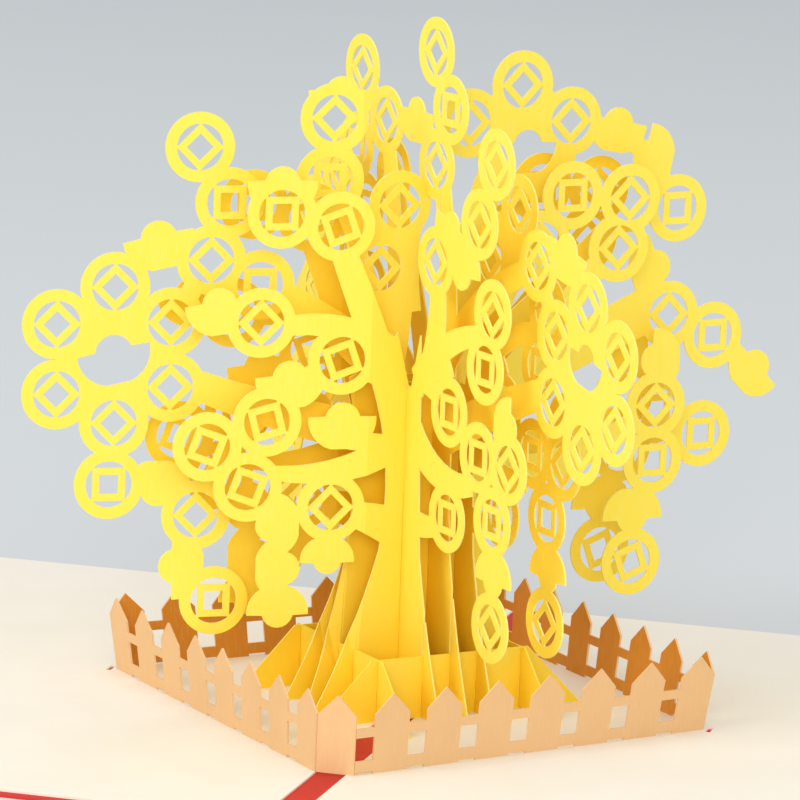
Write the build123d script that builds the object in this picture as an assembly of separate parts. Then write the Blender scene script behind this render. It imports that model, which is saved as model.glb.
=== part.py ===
from build123d import *
from math import atan2, degrees, hypot, sqrt
import os

# Open card, in millimetres
open_width = 300.0
card_depth = 152.0
cover_thickness = 0.35
page_thickness = 0.3
page_margin = 2.0
gutter_strip = 5.0

# Picket fence: a square standing cornerwise on the gutter
fence_diagonal = 100.0
fence_shift = 5.0
fence_stock = 0.35
fence_gap = 0.05
picket_count = 8
picket_share = 0.655
picket_tip = 12.5
picket_shoulder = 9.3
rail_top = 7.4
rail_underside = 5.9
foot_rail_top = 2.2
tab_slit_length = 3.0
tab_slit_width = 0.8

# Tree: two families of upright slices that cross at right angles
tree_height = 114.0
tree_shift = 7.0
slice_stock = 0.3
slot_clearance = 0.05
slice_spacing = 5.0
low_slice_offset = 13.3
low_slice_height = 10.2
low_slice_top = 29.0
low_slice_foot = 49.4
low_split = 5.2
tall_split = 35.5
crown_side = 101.0
crown_centre = 92.5
root_slot_top = 24.0
arm_curl = 14.0
arm_fold = 12.0
arm_fold_base = 11.0
root_reach = 23.0
arm_lift = 4.0

# Coins and ingots cut in the slices
coin_diameter = 11.3
coin_sides = 8
coin_hole_share = 0.277
ingot_width = 12.0
hub_diameter = 19.0
hub_sides = 10
twig = 3.2

# Sizes that follow from the ones above
page_top = cover_thickness + page_thickness
unit = tree_height / 114.0
wall_length = fence_diagonal / sqrt(2)
slot = slice_stock + 2 * slot_clearance
tall_offsets = [-slice_spacing, 0.0, slice_spacing]
low_offsets = [-low_slice_offset, low_slice_offset]

# The drawing of a 114 mm tree: distance from the middle, height, and turn in degrees
side_a_coins = [
    (-27.3, 81.6, 0), (-17.6, 79.4, 20), (-30.2, 64.0, 45), (-16.7, 57.8, 20),
    (-28.8, 47.9, 15), (-38.5, 44.0, -20), (-31.7, 37.3, -20), (-17.9, 33.7, 45),
    (24.6, 82.9, 0), (35.6, 82.0, 45), (18.8, 75.0, 45), (33.7, 73.8, 45),
    (42.2, 47.0, 45), (42.0, 37.7, 0), (38.6, 20.7, 20),
]
side_a_ingots = [
    (-27.3, 86.8, 0, 0.95), (-36.9, 65.9, 8, 0.94), (-25.1, 53.9, 4, 0.96), (-16.3, 47.0, 0, 0.95),
    (-18.2, 25.8, 180, 0.75), (-26.6, 31.0, 90, 0.9), (-26.4, 23.8, -90, 0.9),
    (-26.2, 17.5, 180, 0.85), (42.8, 54.5, 90, 0.92), (38.5, 29.4, -60, 0.92),
]
side_a_boughs = [
    ((-8, 53), (-13.7, 67), (-18.5, 79), 5.5, 4), ((-8, 58.5), (-15.5, 62.6), (-27, 63.2), 5, 3.2),
    ((-7, 44), (-18.1, 40.2), (-30, 40.8), 6, 2.8), ((-6, 29.5), (-11, 31.6), (-17, 33.2), 7, 3.4),
    ((6, 50), (11, 66), (19, 77), 7, 4), ((7, 46), (22, 62), (34, 76), 6, 3.6),
    ((6, 38), (26, 39), (42, 47), 6, 3.6),
]
side_a_twigs = [
    ((-27.3, 81.6), (-17.6, 79.4)), ((-36.9, 65.9), (-30.2, 64)), ((-16.7, 57.8), (-8, 54)),
    ((-25.1, 53.9), (-16.7, 57.8)), ((-25.1, 53.9), (-28.8, 47.9)), ((-28.8, 47.9), (-38.5, 44)),
    ((-38.5, 44), (-31.7, 37.3)), ((-16.3, 46.4), (-7, 46.4)), ((-17.9, 33.7), (-18.2, 25.8)),
    ((-31.7, 37.3), (-26.6, 31)), ((-26.6, 31), (-26.4, 23.8)), ((-26.4, 23.8), (-26.2, 17.5)),
    ((24.6, 82.9), (35.6, 82)), ((18.8, 75), (24.6, 82.9)), ((35.6, 82), (33.7, 73.8)),
    ((42.8, 54.5), (42.2, 47)), ((42.2, 47), (42, 37.7)), ((42, 37.7), (38.5, 29.4)),
    ((38.5, 29.4), (38.6, 20.7)),
]
side_b_coins = [
    (-28.5, 45.8, 0), (-38.0, 45.7, 45), (-18.8, 51.3, 0), (-29.7, 60.1, 0),
    (-31.5, 69.1, 45), (-19.3, 34.2, 0), (-33.6, 36.3, 0), (-34.2, 19.5, 45),
    (-26.4, 82.6, 45), (-31.0, 92.7, 45), (-12.9, 74.6, 45), (20.0, 84.0, 45),
    (29.0, 77.0, 0), (27.0, 64.0, 45), (30.0, 48.0, 45), (36.0, 38.5, 0), (34.0, 20.0, 45),
]
side_b_ingots = [(-36.6, 52.0, 90, 0.85), (-34.6, 28.2, 180, 0.92), (-17.1, 80.0, 20, 0.85), (35.0, 29.0, 180, 0.92)]
side_b_boughs = [
    ((-8, 45.5), (-16.6, 40.6), (-27, 41), 6, 3.6), ((-8, 31.5), (-12, 31.4), (-19, 33), 4.6, 3),
    ((-8, 54), (-18.3, 62.1), (-30, 65.5), 5.4, 3), ((-9, 45), (-13, 46.2), (-18.5, 50.5), 4.6, 3.2),
    ((-10.5, 53), (-14, 66), (-13.3, 74), 6.5, 4), ((-13.5, 68), (-19, 73.5), (-25, 81), 5, 4),
    ((6, 48), (12, 67), (20, 84), 6.5, 3.6),
    ((6, 46), (17, 56), (28, 65), 6, 3.6), ((6, 38), (18, 41), (31, 47), 6, 3.6),
]
side_b_twigs = [
    ((-28.5, 45.8), (-38, 45.7)), ((-18.8, 51.3), (-28.5, 45.8)), ((-38, 45.7), (-36.6, 52)),
    ((-28.5, 45.8), (-33.6, 36.3)), ((-33.6, 36.3), (-34.6, 28.2)), ((-34.6, 28.2), (-34.2, 19.5)),
    ((-29.7, 60.1), (-31.5, 69.1)), ((-26.4, 82.6), (-31, 92.7)), ((-12.9, 74.6), (-17.1, 80)),
    ((20, 84), (29, 77)), ((30, 48), (36, 38.5)), ((36, 38.5), (35, 29)), ((35, 29), (34, 20)),
]
arm_coins = [
    (-38.6, 91.6, 45), (-33.5, 82.7, 0), (-36.3, 73.4, 45), (-42.6, 63.4, 45),
    (-42.5, 52.9, 45), (-51.6, 47.2, 45), (-61.0, 52.0, 45), (-61.1, 63.3, 45),
    (-51.8, 69.2, 45), (-52.2, 37.2, 0), (-37.8, 31.9, 45), (-34.5, 17.7, 0),
]
arm_ingots = [(-44.7, 75.9, 12, 0.97), (-44.2, 37.2, 180, 0.92), (-40.0, 23.5, 90, 0.92)]
arm_hub = (-51.7, 58.3)
arm_hub_ingot = (-51.6, 57.5, 12, 1.0)
arm_boughs = [
    ((-6, 44), (-27.6, 49.5), (-43, 55), 7, 4.4), ((-6, 54), (-20, 65), (-36, 73), 6.5, 3.6),
    ((-27, 49.3), (-33, 41), (-37.8, 33), 4.2, 3.2),
]
arm_twigs = [
    ((-38.6, 91.6), (-33.5, 82.7)), ((-33.5, 82.7), (-36.3, 73.4)), ((-36.3, 73.4), (-44.7, 75.9)),
    ((-36.3, 73.4), (-42.6, 63.4)), ((-51.6, 47.2), (-52.2, 37.2)), ((-52.2, 37.2), (-44.2, 37.2)),
    ((-44.2, 37.2), (-37.8, 31.9)), ((-37.8, 31.9), (-40, 23.5)), ((-40, 23.5), (-34.5, 17.7)),
]
centre_a_coins = [
    (-28.2, 69.3, 0), (-17.2, 86.2, 0), (-16.7, 96.2, 45), (-8.0, 71.7, 45), (-4.8, 81.8, 45),
    (17.3, 100.6, 45), (7.7, 94.7, 45), (26.7, 94.4, 45), (38.7, 81.1, 45), (47.9, 79.1, 0),
    (47.1, 61.2, 45), (56.0, 57.2, 0), (54.5, 40.5, 0), (45.5, 45.0, 0),
]
centre_a_ingots = [
    (35.6, 92.6, -10, 0.92), (42.3, 88.0, -60, 0.92), (64.1, 50.7, -45, 0.92), (43.2, 69.0, -70, 0.95),
]
centre_a_boughs = [
    ((-6, 60), (-5, 72), (-4.8, 82), 6, 4), ((-6, 66), (-12, 78), (-17, 88), 6, 4),
    ((6, 56), (9, 76), (17, 96), 8, 5), ((7, 52), (24, 66), (39, 80), 6.5, 4),
    ((7, 46), (28, 54), (47, 61), 6.5, 4), ((7, 38), (26, 42), (46, 45), 6, 4),
]
centre_a_twigs = [
    ((-17.2, 86.2), (-16.7, 96.2)), ((-8, 71.7), (-4.8, 81.8)), ((17.3, 100.6), (7.7, 94.7)),
    ((17.3, 100.6), (26.7, 94.4)), ((26.7, 94.4), (35.6, 92.6)), ((35.6, 92.6), (42.3, 88)),
    ((42.3, 88), (47.9, 79.1)), ((38.7, 81.1), (47.9, 79.1)), ((43.2, 69), (47.1, 61.2)),
    ((47.1, 61.2), (56, 57.2)), ((56, 57.2), (64.1, 50.7)), ((45.5, 45), (54.5, 40.5)),
]
centre_a_plate = (18.6, 91.0)
centre_a_plate_ingot = (18.6, 89.6, 0, 0.9)
centre_b_coins = [
    (-1.9, 106.7, 45), (-7.2, 98.0, 0), (-3.2, 88.6, 45), (13.9, 93.6, 45), (22.7, 101.1, 45),
    (24.0, 88.0, 0), (33.0, 80.0, 45), (30.0, 69.0, 0), (38.0, 60.0, 45), (34.0, 48.0, 0),
]
centre_b_ingots = [(3.9, 95.0, 0, 0.92)]
centre_b_boughs = [
    ((-8, 60), (-7, 74), (-4, 90), 6, 5), ((7, 60), (10, 76), (14, 94), 6, 4),
    ((7, 52), (20, 68), (31, 79), 6, 4), ((6, 44), (22, 52), (37, 60), 6, 4),
]
centre_b_twigs = [
    ((-1.9, 106.7), (-7.2, 98)), ((-7.2, 98), (-3.2, 88.6)), ((3.9, 95), (-3.2, 92)),
    ((13.9, 93.6), (22.7, 101.1)), ((13.9, 93.6), (24, 88)), ((30, 69), (33, 80)), ((38, 60), (34, 48)),
]


def at(point):
    return (point[0] * unit, point[1] * unit)


def coin(across, up, turn):
    return Pos(across * unit, up * unit) * RegularPolygon(coin_diameter / 2, coin_sides)


def coin_hole(across, up, turn):
    side = coin_diameter * coin_hole_share
    return Pos(across * unit, up * unit) * Rot(0, 0, turn) * Rectangle(side, side)


def ingot(across, up, turn, scale):
    w = ingot_width * scale
    half = [(0.0, 0.34), (0.18, 0.28), (0.25, 0.14), (0.5, 0.13), (0.4, -0.16), (0.17, -0.33)]
    right = [(x * w, y * w) for x, y in half]
    left = [(-x, y) for x, y in reversed(right[1:])]
    return Pos(across * unit, up * unit) * Rot(0, 0, turn) * Polygon(*right, *left, align=None)


def arc_points(first, middle, last):
    arc = Edge.make_three_point_arc(first, middle, last)
    return [arc.position_at(share) for share in (0, 0.33, 0.67, 1)]


def arc_ends(first, middle, last):
    return [(p.X, p.Y) for p in arc_points(Vector(*first), Vector(*middle), Vector(*last))[1:]]


def bough(start, middle, end, thick, thin):
    a, m, b = Vector(*at(start)), Vector(*at(middle)), Vector(*at(end))
    first = (m - a).normalized()
    last = (b - m).normalized()
    whole = (b - a).normalized()
    left = [Vector(-d.Y, d.X) for d in (first, whole, last)]
    half = [thick * unit / 2, (thick + thin) * unit / 4, thin * unit / 2]
    upper = [p + n * h for p, n, h in zip((a, m, b), left, half)]
    lower = [p - n * h for p, n, h in zip((a, m, b), left, half)]
    rim = arc_points(*upper) + arc_points(*reversed(lower))
    return Polygon(*[(p.X, p.Y) for p in rim], align=None)


def twig_between(first, second):
    a, b = at(first), at(second)
    length = hypot(b[0] - a[0], b[1] - a[1])
    turn = degrees(atan2(b[1] - a[1], b[0] - a[0]))
    middle = Pos((a[0] + b[0]) / 2, (a[1] + b[1]) / 2)
    return middle * Rot(0, 0, turn) * Rectangle(length, twig * unit)


def trunk(root, waist, shoulder, crown):
    knee = ((root + waist) / 2, 12.0)
    shin = (waist + 0.9, 26.0)
    rise = [at((root, 0))] + arc_ends(at((root, 0)), at(knee), at(shin))
    rise += arc_ends(at(shin), at((waist, 39.0)), at((shoulder, 54.0)))
    right = rise + [at(point) for point in crown]
    return Polygon(*right, *[(-x, y) for x, y in reversed(right)], align=None)


def slot_cut(across, low, high):
    return Pos(across, (low + high) / 2) * Rectangle(slot, high - low)


def lifted(items, lift):
    return [(item[0], item[1] + lift, *item[2:]) for item in items]


def lifted_pairs(pairs, lift):
    return [tuple((p[0], p[1] + lift) for p in pair[:2]) + tuple(pair[2:]) for pair in pairs]


def lifted_boughs(boughs, lift):
    return [(b[0], (b[1][0], b[1][1] + lift), (b[2][0], b[2][1] + lift), b[3], b[4]) for b in boughs]


def tree_outline(stem, coins, ingots, boughs, twigs, plates, plate_ingots):
    solid = [stem]
    solid += [bough(*item) for item in boughs]
    solid += [twig_between(*item) for item in twigs]
    solid += [Pos(*at(point)) * RegularPolygon(hub_diameter * unit / 2, hub_sides) for point in plates]
    solid += [coin(*item) for item in coins]
    solid += [ingot(*item) for item in ingots]
    openings = [coin_hole(*item) for item in coins]
    openings += [ingot(*item) for item in plate_ingots]
    return Sketch() + solid - openings


def stand(flat, thickness):
    return extrude(Plane.XZ * flat, amount=thickness / 2, both=True)


def curl_arm(plate):
    reach = open_width
    tall = tree_height * 2
    base = arm_fold_base * unit
    fold = arm_fold * unit
    region = Pos(-fold - reach / 2, 0, base + tall / 2) * Box(reach, reach, tall)
    region += Pos(-root_reach * unit - reach / 2, 0, tall / 2) * Box(reach, reach, tall)
    arm = plate & region
    pivot = Pos(-fold, -slice_stock / 2, 0)
    turned = pivot * Rot(0, 0, -arm_curl) * pivot.inverse() * arm
    return (plate - region) + turned


def family_a(plate, offset):
    return Pos(0, tree_shift, page_top) * Rot(0, 0, 45) * Pos(0, offset, 0) * plate


def family_b(plate, offset):
    return Pos(0, tree_shift, page_top) * Rot(0, 0, 135) * Pos(0, -offset, 0) * plate


def one_solid(shape, name):
    solids = shape.solids()
    assert len(solids) == 1, name + " is in " + str(len(solids)) + " pieces"
    return solids[0]


# Cover and pages
cover = Pos(0, 0, cover_thickness / 2) * Box(open_width, card_depth, cover_thickness)
left_width = open_width / 2 - page_margin
right_width = left_width - gutter_strip
page_depth = card_depth - 2 * page_margin
page_middle = cover_thickness + page_thickness / 2
slit_middle = fence_diagonal / 2 + fence_stock + tab_slit_width
slit_box = Box(tab_slit_width, tab_slit_length, 4 * page_thickness)
left_page = Pos(-left_width / 2, 0, page_middle) * Box(left_width, page_depth, page_thickness)
left_page -= Pos(-slit_middle, fence_shift, page_top) * slit_box
right_box = Box(right_width, page_depth, page_thickness)
right_page = Pos(gutter_strip + right_width / 2, 0, page_middle) * right_box
right_page -= Pos(slit_middle, fence_shift, page_top) * slit_box

# Fence walls
pitch = wall_length / (picket_count - 1 + picket_share)
picket = pitch * picket_share
half = fence_diagonal / 2
fold_start = fence_stock / (2 * sqrt(2)) + fence_gap
fold_end = fold_start + picket
turned_length = hypot(half - fold_end, half)
turned_pitch = turned_length / (picket_count - 1)
turned_picket = turned_pitch * picket_share


def wall_plate(count, width, gap, lead):
    step = width + gap
    starts = [lead + number * step for number in range(count)]
    skyline = [(0, 0)]
    if lead > 0:
        skyline.append((0, rail_top))
    for start in starts:
        if start > 0:
            skyline.append((start, rail_top))
        skyline.append((start, picket_shoulder))
        skyline.append((start + width / 2, picket_tip))
        skyline.append((start + width, picket_shoulder))
        if start < starts[-1]:
            skyline.append((start + width, rail_top))
    skyline.append((starts[-1] + width, 0))
    face = Sketch() + make_face(Polyline(*skyline, close=True))
    height = rail_underside - foot_rail_top
    for start in starts:
        if start > 0:
            face -= Pos(start - gap / 2, foot_rail_top + height / 2) * Rectangle(gap, height)
    return stand(face, fence_stock)


wall = wall_plate(picket_count, picket, pitch - picket, 0)
crossing = wall_plate(1, picket, 0, 0)
turned_gap = turned_pitch - turned_picket
turned_wall = wall_plate(picket_count - 1, turned_picket, turned_gap, turned_gap)
end_trim = fence_stock / 2 + fence_gap
keep = Pos(end_trim + wall_length, 0, 0) * Box(2 * wall_length, 4 * fence_stock, 4 * picket_tip)
to_fence = Pos(0, fence_shift, page_top)
turn = degrees(atan2(half, half - fold_end))
near_left = to_fence * Pos(0, -half, 0) * Rot(0, 0, 135) * wall
far_left = to_fence * Pos(-half, 0, 0) * Rot(0, 0, 45) * wall
near_crossing = to_fence * Pos(fold_start, -half, 0) * crossing
near_right = to_fence * Pos(fold_end, -half, 0) * Rot(0, 0, turn) * turned_wall
far_right = to_fence * Pos(0, half, 0) * Rot(0, 0, -45) * (wall & keep)
left_corner = to_fence * Pos(-half, 0, picket_shoulder / 2)
right_corner = to_fence * Pos(half, 0, picket_shoulder / 2)
fold_corner = to_fence * Pos(fold_end, -half, picket_shoulder / 2)
corner_post = Rot(0, 0, 45) * Box(fence_stock, fence_stock, picket_shoulder)
fold_post = Box(fence_stock, fence_stock, picket_shoulder)
left_fence = one_solid(near_left + far_left + left_corner * corner_post, "left_fence")
right_posts = right_corner * corner_post + fold_corner * fold_post
right_fence = one_solid(near_crossing + near_right + far_right + right_posts, "right_fence")

# Low slices
with BuildSketch() as low_sketch:
    with BuildLine():
        Polyline(
            (-low_slice_foot / 2, 0), (low_slice_foot / 2, 0),
            (low_slice_top / 2, low_slice_height), (-low_slice_top / 2, low_slice_height),
            close=True,
        )
    make_face()
low_face = low_sketch.sketch
low_a_cuts = [slot_cut(x, -1, low_split) for x in tall_offsets + low_offsets]
low_b_cuts = [slot_cut(x, low_split, low_slice_height + 1) for x in tall_offsets + low_offsets]
low_a = stand(low_face - low_a_cuts, slice_stock)
low_b = stand(low_face - low_b_cuts, slice_stock)

# Tall slices
side_a_stem = trunk(20.5, 8.5, 11.6, [(7.2, 62.0), (4.8, 53.0)])
side_b_stem = trunk(19.6, 10.2, 12.0, [(8.8, 62.0), (6.4, 53.0)])
centre_a_stem = trunk(19.2, 11.6, 13.0, [(6.0, 78.0)])
centre_b_stem = trunk(20.0, 11.1, 13.0, [(6.0, 78.0)])
side_a = tree_outline(side_a_stem, side_a_coins, side_a_ingots, side_a_boughs, side_a_twigs, [], [])
side_b = tree_outline(side_b_stem, side_b_coins, side_b_ingots, side_b_boughs, side_b_twigs, [], [])
centre_a = tree_outline(
    centre_a_stem, arm_coins + centre_a_coins, arm_ingots + centre_a_ingots,
    arm_boughs + centre_a_boughs, arm_twigs + centre_a_twigs,
    [arm_hub, centre_a_plate], [arm_hub_ingot, centre_a_plate_ingot],
)
centre_b = tree_outline(
    centre_b_stem, lifted(arm_coins[1:-1], arm_lift) + centre_b_coins,
    lifted(arm_ingots[:-1], arm_lift) + centre_b_ingots,
    lifted_boughs(arm_boughs, arm_lift) + centre_b_boughs,
    lifted_pairs(arm_twigs[1:-2], arm_lift) + centre_b_twigs,
    lifted([arm_hub], arm_lift), lifted([arm_hub_ingot], arm_lift),
)
a_cuts = [slot_cut(x, -1, tall_split * unit) for x in tall_offsets]
a_cuts += [slot_cut(x, -1, low_split) for x in low_offsets]
root_cuts = [slot_cut(x, low_split, root_slot_top) for x in low_offsets]
b_side_cuts = [slot_cut(x, tall_split * unit, crown_side * unit) for x in tall_offsets] + root_cuts
b_centre_cuts = [slot_cut(x, tall_split * unit, crown_centre * unit) for x in tall_offsets] + root_cuts
side_a_plate = curl_arm(stand(side_a - a_cuts, slice_stock))
centre_a_plate_solid = curl_arm(stand(centre_a - a_cuts, slice_stock))
side_b_plate = stand(side_b - b_side_cuts, slice_stock)
centre_b_plate_solid = stand(centre_b - b_centre_cuts, slice_stock)

parts = {
    "cover": cover,
    "left_page": left_page,
    "right_page": right_page,
    "left_fence": left_fence,
    "right_fence": right_fence,
    "low_slice_a1": family_a(low_a, -low_slice_offset),
    "low_slice_a2": family_a(low_a, low_slice_offset),
    "low_slice_b1": family_b(low_b, -low_slice_offset),
    "low_slice_b2": family_b(low_b, low_slice_offset),
    "tree_slice_a1": family_a(side_a_plate, -slice_spacing),
    "tree_slice_a2": family_a(centre_a_plate_solid, 0),
    "tree_slice_a3": family_a(side_a_plate, slice_spacing),
    "tree_slice_b1": family_b(side_b_plate, -slice_spacing),
    "tree_slice_b2": family_b(centre_b_plate_solid, 0),
    "tree_slice_b3": family_b(side_b_plate, slice_spacing),
}

os.makedirs("parts", exist_ok=True)
for name, shape in parts.items():
    export_step(one_solid(shape, name), "parts/" + name + ".step")
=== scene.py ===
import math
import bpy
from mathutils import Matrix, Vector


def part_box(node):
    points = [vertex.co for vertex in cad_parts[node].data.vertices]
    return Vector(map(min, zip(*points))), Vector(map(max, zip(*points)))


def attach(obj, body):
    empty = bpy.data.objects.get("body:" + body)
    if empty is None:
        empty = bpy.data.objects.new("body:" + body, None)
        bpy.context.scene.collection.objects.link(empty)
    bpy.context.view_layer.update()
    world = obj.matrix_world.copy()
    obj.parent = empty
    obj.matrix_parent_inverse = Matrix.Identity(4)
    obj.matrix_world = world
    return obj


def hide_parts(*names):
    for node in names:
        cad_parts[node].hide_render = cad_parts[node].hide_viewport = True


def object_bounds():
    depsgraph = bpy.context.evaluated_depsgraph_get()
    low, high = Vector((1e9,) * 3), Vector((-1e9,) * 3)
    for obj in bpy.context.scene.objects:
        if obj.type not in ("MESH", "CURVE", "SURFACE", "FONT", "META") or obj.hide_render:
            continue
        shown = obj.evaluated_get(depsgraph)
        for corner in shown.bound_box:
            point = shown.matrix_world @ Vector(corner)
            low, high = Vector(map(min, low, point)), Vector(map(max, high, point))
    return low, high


bl_info = {
    "name": "Pop up card with a tree of coins",
    "version": (1, 0, 0),
    "blender": (4, 5, 0),
    "location": "3D View > Sidebar > Pop up card",
    "description": "Dresses a folded card, its picket fence and its slotted tree in cut paper",
    "category": "Add Mesh",
}

import bmesh
import bpy
from mathutils import Matrix, Vector

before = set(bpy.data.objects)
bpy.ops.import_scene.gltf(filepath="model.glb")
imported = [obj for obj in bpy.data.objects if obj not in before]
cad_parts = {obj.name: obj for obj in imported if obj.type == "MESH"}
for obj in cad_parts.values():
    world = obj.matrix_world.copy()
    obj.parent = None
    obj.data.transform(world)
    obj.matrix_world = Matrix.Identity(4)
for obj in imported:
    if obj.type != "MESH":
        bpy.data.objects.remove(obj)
CAD_BOX = [list(corner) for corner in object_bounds()]
MM = 0.001
PAGE_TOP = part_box("left_page")[1].z
TREE_SHIFT = 7 * MM
FENCE_SHIFT = 5 * MM
SLICE_SPACING = 5 * MM
ARC_STEPS = 8

# Drawing of the slices in millimetres: distance from the middle, height, and turn in degrees
SIDE_A_COINS = [
    (-27.3, 81.6, 0), (-17.6, 79.4, 20), (-30.2, 64.0, 45), (-16.7, 57.8, 20),
    (-28.8, 47.9, 15), (-38.5, 44.0, -20), (-31.7, 37.3, -20), (-17.9, 33.7, 45),
    (24.6, 82.9, 0), (35.6, 82.0, 45), (18.8, 75.0, 45), (33.7, 73.8, 45),
    (42.2, 47.0, 45), (42.0, 37.7, 0), (38.6, 20.7, 20),
]
SIDE_A_INGOTS = [
    (-27.3, 85.3, 0, 0.95), (-36.9, 65.9, 8, 0.94), (-25.1, 53.9, 4, 0.96), (-16.3, 47.0, 0, 0.95),
    (-18.2, 25.8, 180, 0.75), (-26.6, 31.0, 90, 0.9), (-26.4, 23.8, -90, 0.9),
    (-26.2, 17.5, 180, 0.85), (42.8, 54.5, 90, 0.92), (38.5, 29.4, 180, 0.95),
]
SIDE_A_BOUGHS = [
    ((-8, 53), (-13.7, 67), (-18.5, 79), 5.5, 4), ((-8, 58.5), (-15.5, 62.6), (-27, 63.2), 5, 3.2),
    ((-7, 43.6), (-18.1, 39.6), (-30, 40), 5.4, 2), ((-6, 29.5), (-11, 31.6), (-17, 33.2), 7, 3.4),
    ((6, 50), (11, 66), (19, 77), 7, 4), ((7, 46), (22, 62), (34, 76), 6, 3.6),
    ((6, 38), (26, 39), (42, 47), 6, 3.6),
]
SIDE_A_TWIGS = [
    ((-27.3, 81.6), (-17.6, 79.4)), ((-36.9, 65.9), (-30.2, 64)), ((-16.7, 57.8), (-8, 54)),
    ((-25.1, 53.9), (-16.7, 57.8)), ((-25.1, 53.9), (-28.8, 47.9)), ((-28.8, 47.9), (-38.5, 44)),
    ((-38.5, 44), (-31.7, 37.3)), ((-16.3, 45), (-7, 43.4)), ((-17.9, 33.7), (-18.2, 25.8)),
    ((-31.7, 37.3), (-26.6, 31)), ((-26.6, 31), (-26.4, 23.8)), ((-26.4, 23.8), (-26.2, 17.5)),
    ((24.6, 82.9), (35.6, 82)), ((18.8, 75), (24.6, 82.9)), ((35.6, 82), (33.7, 73.8)),
    ((42.8, 54.5), (42.2, 47)), ((42.2, 47), (42, 37.7)), ((42, 37.7), (38.5, 29.4)),
    ((38.5, 29.4), (38.6, 20.7)),
]
SIDE_B_COINS = [
    (-28.5, 45.8, 0), (-38.0, 45.7, 45), (-18.8, 51.3, 0), (-29.7, 60.1, 0),
    (-31.5, 69.1, 45), (-19.3, 34.2, 0), (-33.6, 36.3, 0), (-34.2, 19.5, 45),
    (-26.4, 82.6, 45), (-31.0, 92.7, 45), (-12.9, 74.6, 45), (20.0, 84.0, 45),
    (29.0, 77.0, 0), (27.0, 64.0, 45), (30.0, 48.0, 45), (36.0, 38.5, 0), (34.0, 20.0, 45),
]
SIDE_B_INGOTS = [
    (-36.6, 52.0, 90, 0.85), (-34.6, 28.2, 180, 0.92), (-17.1, 80.0, 20, 0.85), (-21.3, 75.2, 180, 0.95),
    (35.0, 29.0, 180, 0.92),
]
SIDE_B_BOUGHS = [
    ((-8, 45.5), (-16.6, 40.6), (-27, 41), 6, 3.6), ((-8, 31.5), (-12, 31.4), (-19, 33), 4.6, 3),
    ((-8, 54), (-18.3, 62.1), (-30, 65.5), 5.4, 3), ((-11, 58.5), (-15, 58.8), (-18, 55.5), 5, 5),
    ((-10.5, 53), (-14, 66), (-13.3, 74), 6.5, 4), ((6, 48), (12, 67), (20, 84), 6.5, 3.6),
    ((6, 46), (17, 56), (28, 65), 6, 3.6), ((6, 38), (18, 41), (31, 47), 6, 3.6),
]
SIDE_B_TWIGS = [
    ((-28.5, 45.8), (-38, 45.7)), ((-18.8, 51.3), (-28.5, 45.8)), ((-38, 45.7), (-36.6, 52)),
    ((-28.5, 45.8), (-33.6, 36.3)), ((-33.6, 36.3), (-34.6, 28.2)), ((-34.6, 28.2), (-34.2, 19.5)),
    ((-29.7, 60.1), (-31.5, 69.1)), ((-26.4, 82.6), (-31, 92.7)), ((-12.9, 74.6), (-17.1, 80)),
    ((20, 84), (29, 77)), ((30, 48), (36, 38.5)), ((36, 38.5), (35, 29)), ((35, 29), (34, 20)),
]
ARM_COINS = [
    (-38.6, 91.6, 45), (-33.5, 82.7, 0), (-36.3, 73.4, 45), (-42.6, 63.4, 45),
    (-42.5, 52.9, 45), (-51.6, 47.2, 45), (-61.0, 52.0, 45), (-61.1, 63.3, 45),
    (-51.8, 69.2, 45), (-52.2, 37.2, 0), (-37.8, 31.9, 45), (-34.5, 17.7, 0),
]
ARM_INGOTS = [(-44.7, 75.9, 12, 0.97), (-44.2, 37.2, 180, 0.92), (-40.0, 23.5, 90, 0.92)]
ARM_HUB = (-51.7, 58.3)
ARM_HUB_INGOT = (-51.6, 57.5, 12, 1.0)
ARM_BOUGHS = [
    ((-6, 44), (-27.6, 49.5), (-43, 55), 7, 4.4), ((-6, 54), (-20, 65), (-36, 73), 6.5, 3.6),
    ((-27, 49.3), (-33, 41), (-37.8, 33), 4.2, 3.2),
]
ARM_TWIGS = [
    ((-38.6, 91.6), (-33.5, 82.7)), ((-33.5, 82.7), (-36.3, 73.4)), ((-36.3, 73.4), (-44.7, 75.9)),
    ((-36.3, 73.4), (-42.6, 63.4)), ((-51.6, 47.2), (-52.2, 37.2)), ((-52.2, 37.2), (-44.2, 37.2)),
    ((-44.2, 37.2), (-37.8, 31.9)), ((-37.8, 31.9), (-40, 23.5)), ((-40, 23.5), (-34.5, 17.7)),
]
CENTRE_A_COINS = [
    (-28.2, 69.3, 0), (-17.2, 86.2, 0), (-16.7, 96.2, 45), (-8.0, 71.7, 45), (-4.8, 81.8, 45),
    (17.3, 100.6, 45), (7.7, 94.7, 45), (26.7, 94.4, 45), (38.7, 81.1, 45), (47.9, 79.1, 0),
    (47.1, 61.2, 45), (56.0, 57.2, 0), (54.5, 40.5, 0), (45.5, 45.0, 0),
]
CENTRE_A_INGOTS = [
    (-15.6, 99.2, 0, 0.92), (35.6, 92.6, -10, 0.92), (42.8, 87.6, 78, 0.95), (64.1, 50.7, -45, 0.92),
    (43.2, 69.0, -70, 0.95),
]
CENTRE_A_BOUGHS = [
    ((-6, 50), (-5, 58), (-4.8, 67), 3.4, 6), ((-5, 64), (-5.6, 72), (-4.8, 82), 9.5, 9),
    ((-7, 66), (-12, 78), (-17, 88), 6, 4),
    ((7, 48), (8, 72), (17, 96), 7, 5), ((7, 52), (24, 66), (39, 80), 6.5, 4),
    ((7, 46), (28, 56), (45, 63), 6.5, 8), ((7, 38), (26, 42), (46, 45), 6, 4),
]
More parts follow.
